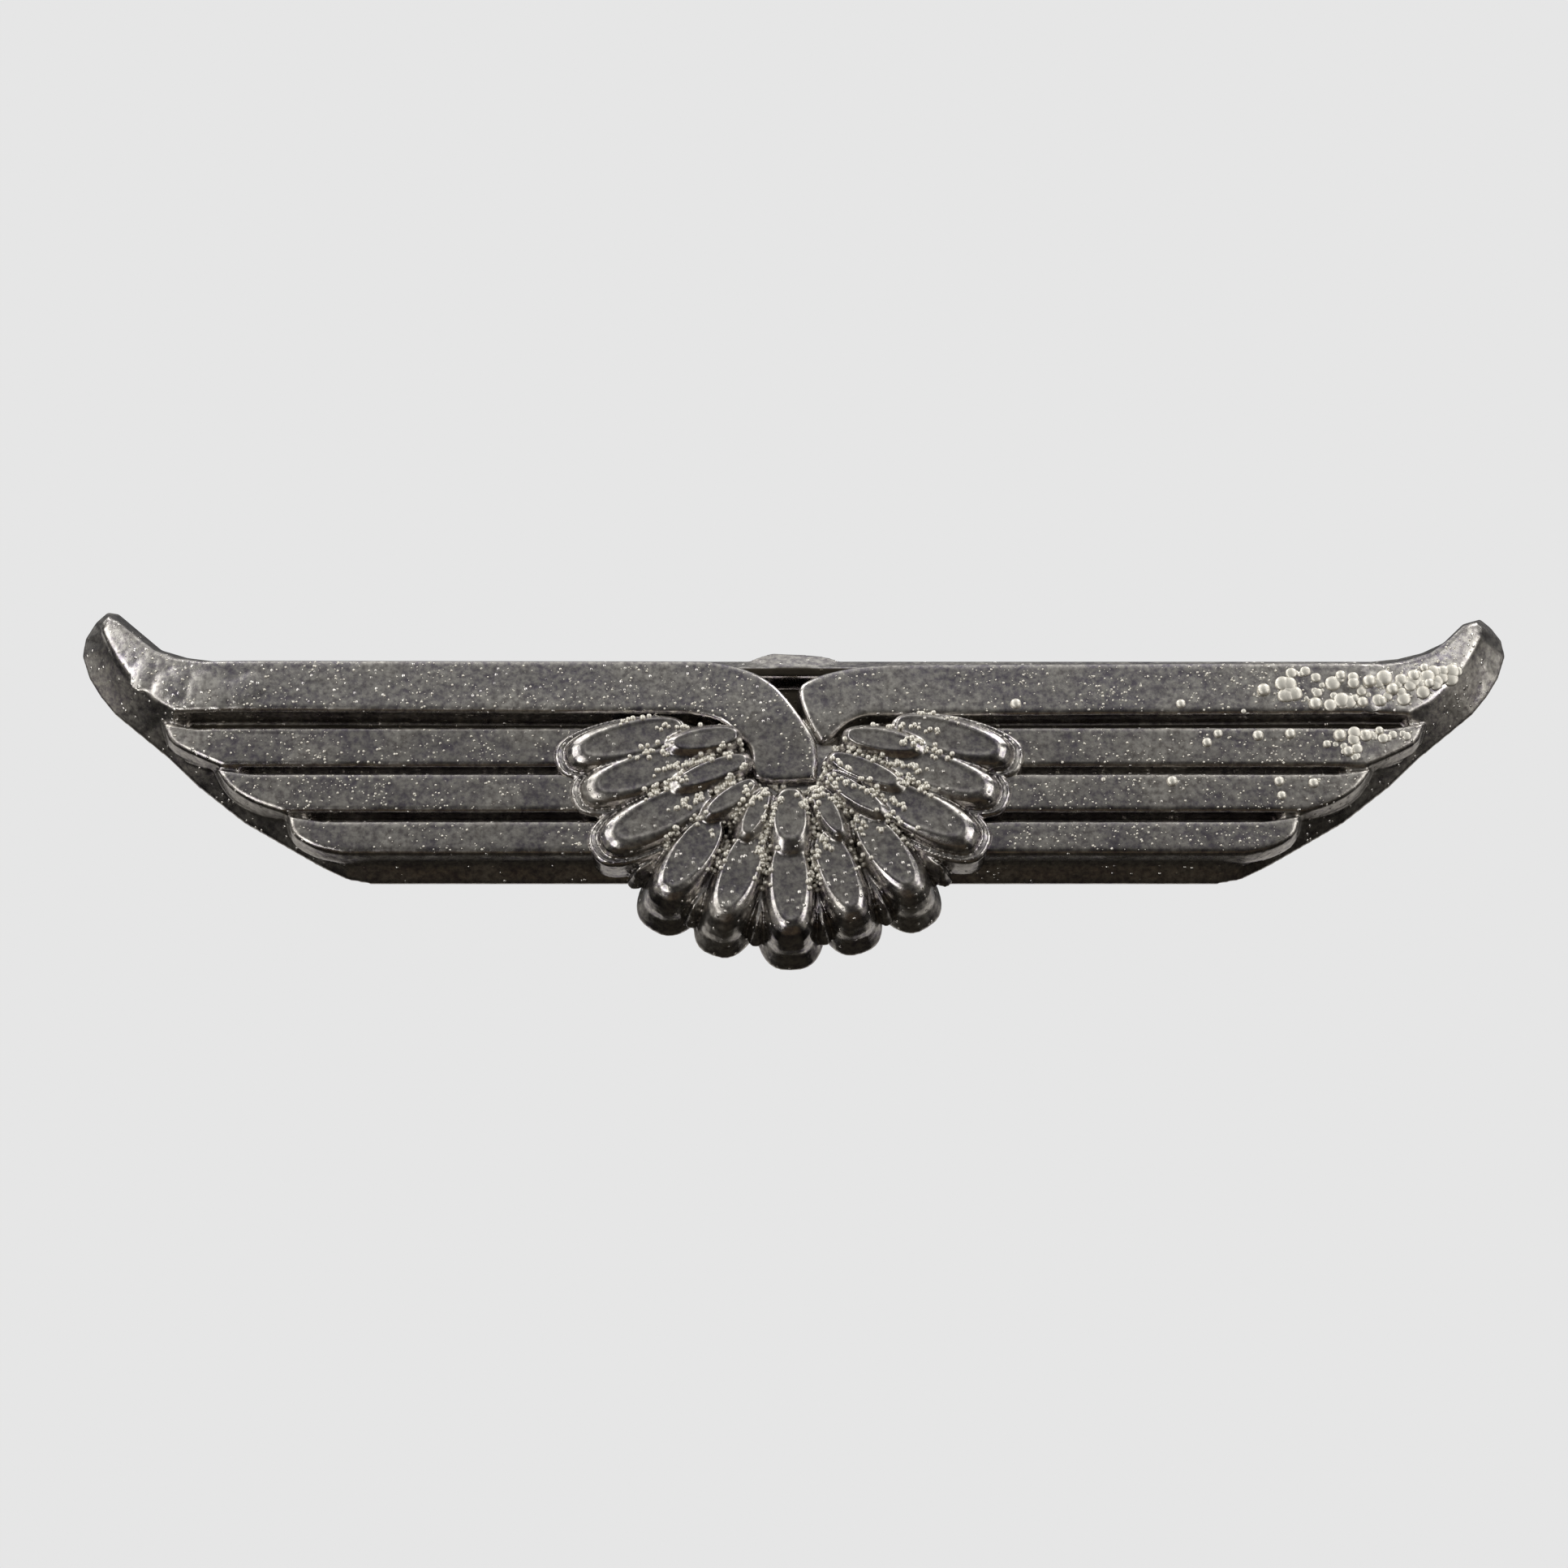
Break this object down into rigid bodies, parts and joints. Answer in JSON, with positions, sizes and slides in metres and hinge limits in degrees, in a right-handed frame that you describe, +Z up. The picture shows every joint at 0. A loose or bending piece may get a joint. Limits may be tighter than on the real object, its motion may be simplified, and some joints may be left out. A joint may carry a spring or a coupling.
{
  "type": "winged badge with clutch pins",
  "caption": "Cast metal wings badge with a feathered plume, on sharp pins held by squeeze-release butterfly clutches.",
  "frame": {"origin": "on the flat back face of the casting, midway between the two pins", "axes": "+Z up as worn, +X to the right of someone who faces the badge, -Y out of the front, +Y out of the back along the pins"},
  "size_m": [0.0762, 0.0107, 0.0205],
  "materials": {
    "plated_casting": "nickel plated as cast, grainy, darkened in the grooves",
    "pin_nickel": "bright nickel plated",
    "solder": "dull tin solder",
    "clutch_nickel": "nickel plated sheet brass"
  },
  "bodies": {
    "badge": {"badge_casting": "plated_casting", "left_pin": "pin_nickel", "left_pin_solder": "solder", "right_pin": "pin_nickel", "right_pin_solder": "solder"},
    "left_clutch": {"left_clutch_plate": "clutch_nickel", "left_clutch_bridge": "clutch_nickel"},
    "left_outer_ear": {"left_clutch_outer_ear": "clutch_nickel"},
    "left_inner_ear": {"left_clutch_inner_ear": "clutch_nickel"},
    "right_clutch": {"right_clutch_plate": "clutch_nickel", "right_clutch_bridge": "clutch_nickel"},
    "right_outer_ear": {"right_clutch_outer_ear": "clutch_nickel"},
    "right_inner_ear": {"right_clutch_inner_ear": "clutch_nickel"}
  },
  "joints": [
    {"name": "left_clutch_slide", "type": "slide", "parent": "badge", "child": "left_clutch", "axis": [0, 1, 0], "range_m": [0, 0.008]},
    {"name": "left_outer_squeeze", "type": "hinge", "parent": "left_clutch", "child": "left_outer_ear", "pos_m": [-0.02145, 0.0039, 0], "axis": [0, 0, -1], "range_deg": [0, 12], "stiffness_Nm_per_rad": 0.05},
    {"name": "left_inner_squeeze", "type": "hinge", "parent": "left_clutch", "child": "left_inner_ear", "pos_m": [-0.01665, 0.0039, 0], "axis": [0, 0, 1], "range_deg": [0, 12], "stiffness_Nm_per_rad": 0.05},
    {"name": "right_clutch_slide", "type": "slide", "parent": "badge", "child": "right_clutch", "axis": [0, 1, 0], "range_m": [0, 0.008]},
    {"name": "right_outer_squeeze", "type": "hinge", "parent": "right_clutch", "child": "right_outer_ear", "pos_m": [0.02145, 0.0039, 0], "axis": [0, 0, 1], "range_deg": [0, 12], "stiffness_Nm_per_rad": 0.05},
    {"name": "right_inner_squeeze", "type": "hinge", "parent": "right_clutch", "child": "right_inner_ear", "pos_m": [0.01665, 0.0039, 0], "axis": [0, 0, -1], "range_deg": [0, 12], "stiffness_Nm_per_rad": 0.05}
  ]
}
